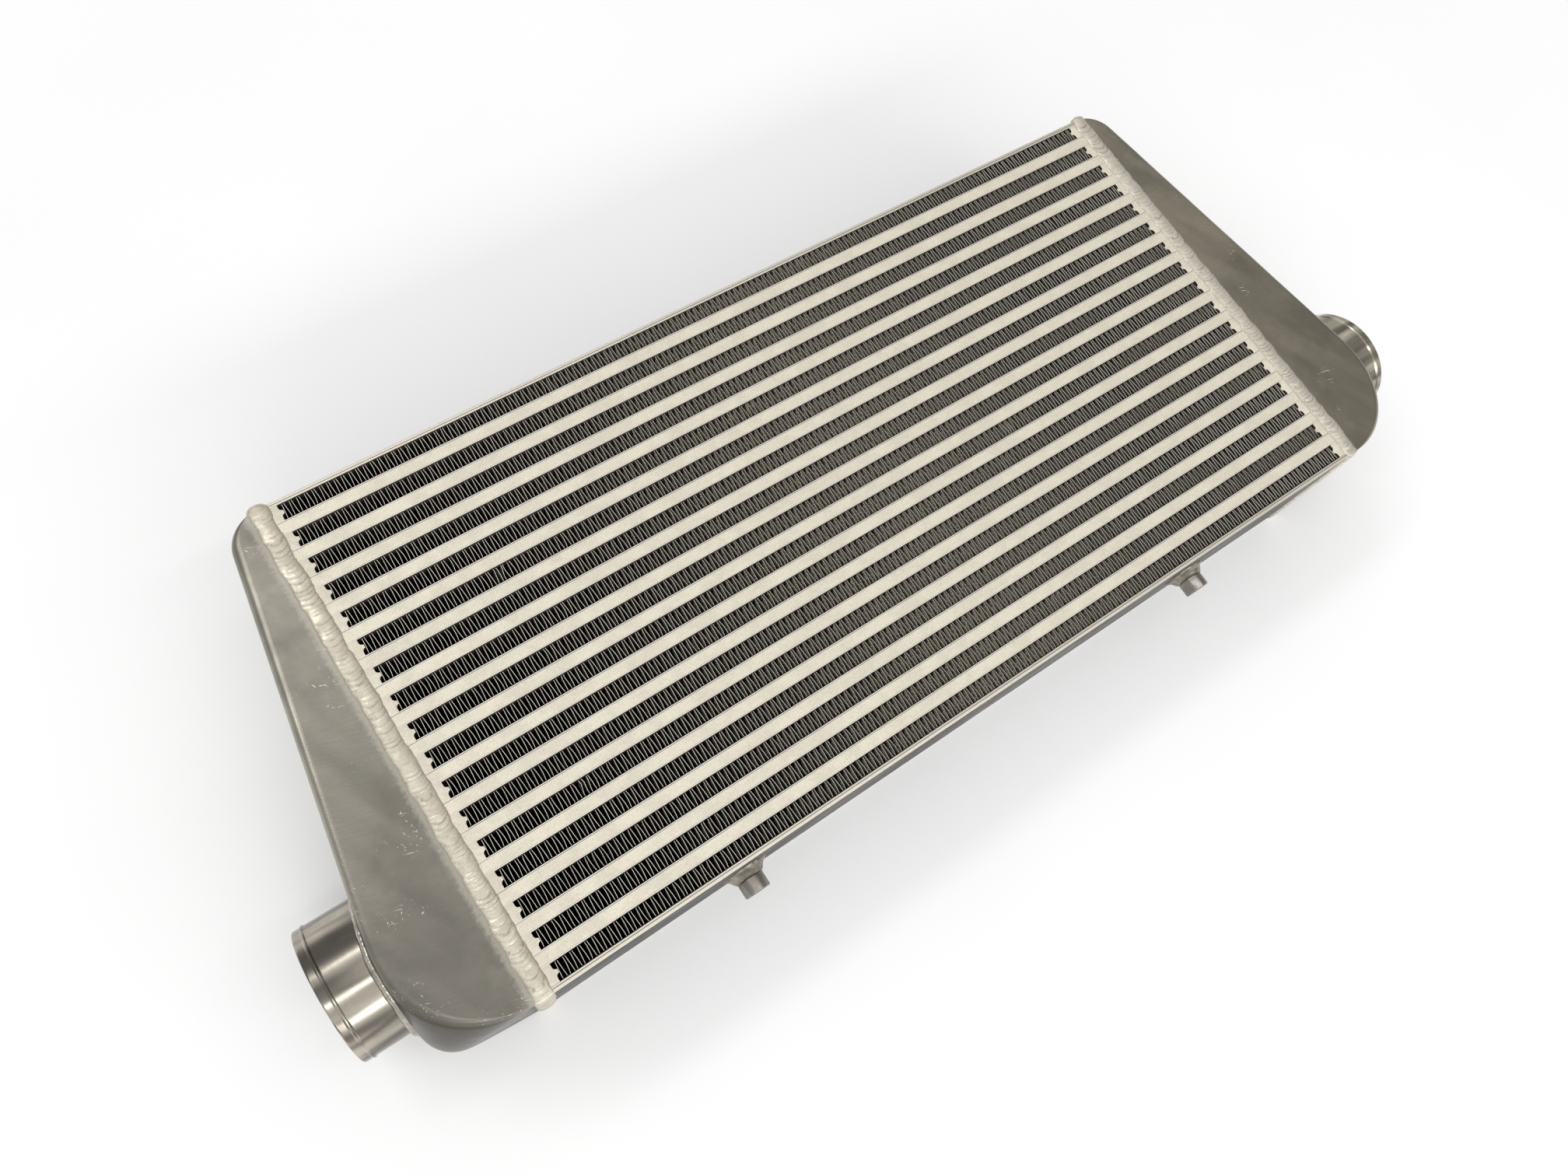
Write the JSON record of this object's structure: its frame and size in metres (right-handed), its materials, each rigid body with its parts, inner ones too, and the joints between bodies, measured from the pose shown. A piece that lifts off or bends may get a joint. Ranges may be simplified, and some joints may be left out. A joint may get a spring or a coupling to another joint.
{
  "type": "intercooler",
  "caption": "Air-to-air intercooler: a bar-and-plate core with folded fins between two welded end tanks, each with a beaded hose pipe, and mounting bosses below.",
  "frame": {"origin": "centre of the bounding box's underside, on the plane that the rear weld beads rest on", "axes": "+X along the core towards the right tank, +Y across the rows away from the mounting bosses, +Z out of the front face"},
  "size_m": [0.777, 0.3168, 0.1036],
  "materials": {
    "end_sheet": "dull rolled aluminium sheet, dark, with small weld spatter",
    "parting_sheet": "brazed aluminium sheet, edges only seen",
    "bar": "matte blasted aluminium, warm pale grey, fine grain",
    "cooling_fin": "thin folded aluminium, bright sheared edges",
    "charge_fin": "thin folded aluminium",
    "tank": "brushed cast aluminium, soft sheen, light scratches",
    "pipe": "turned and polished aluminium tube",
    "boss": "turned aluminium, satin",
    "weld": "silver-white weld metal with close ripples"
  },
  "bodies": {
    "root": {"end_sheet_top": "end_sheet", "end_sheet_bottom": "end_sheet", "parting_sheets": "parting_sheet", "charge_bars_front": "bar", "charge_bars_rear": "bar", "closing_bars_left": "bar", "closing_bars_right": "bar", "cooling_fin_01": "cooling_fin", "cooling_fin_02": "cooling_fin", "cooling_fin_03": "cooling_fin", "cooling_fin_04": "cooling_fin", "cooling_fin_05": "cooling_fin", "cooling_fin_06": "cooling_fin", "cooling_fin_07": "cooling_fin", "cooling_fin_08": "cooling_fin", "cooling_fin_09": "cooling_fin", "cooling_fin_10": "cooling_fin", "cooling_fin_11": "cooling_fin", "cooling_fin_12": "cooling_fin", "cooling_fin_13": "cooling_fin", "cooling_fin_14": "cooling_fin", "cooling_fin_15": "cooling_fin", "cooling_fin_16": "cooling_fin", "cooling_fin_17": "cooling_fin", "charge_fin_01": "charge_fin", "charge_fin_02": "charge_fin", "charge_fin_03": "charge_fin", "charge_fin_04": "charge_fin", "charge_fin_05": "charge_fin", "charge_fin_06": "charge_fin", "charge_fin_07": "charge_fin", "charge_fin_08": "charge_fin", "charge_fin_09": "charge_fin", "charge_fin_10": "charge_fin", "charge_fin_11": "charge_fin", "charge_fin_12": "charge_fin", "charge_fin_13": "charge_fin", "charge_fin_14": "charge_fin", "charge_fin_15": "charge_fin", "charge_fin_16": "charge_fin", "tank_left": "tank", "tank_right": "tank", "pipe_left": "pipe", "pipe_right": "pipe", "boss_left": "boss", "boss_right": "boss", "tank_weld_left": "weld", "tank_weld_right": "weld", "pipe_weld_left": "weld", "pipe_weld_right": "weld", "boss_weld_left": "weld", "boss_weld_right": "weld"}
  },
  "joints": []
}
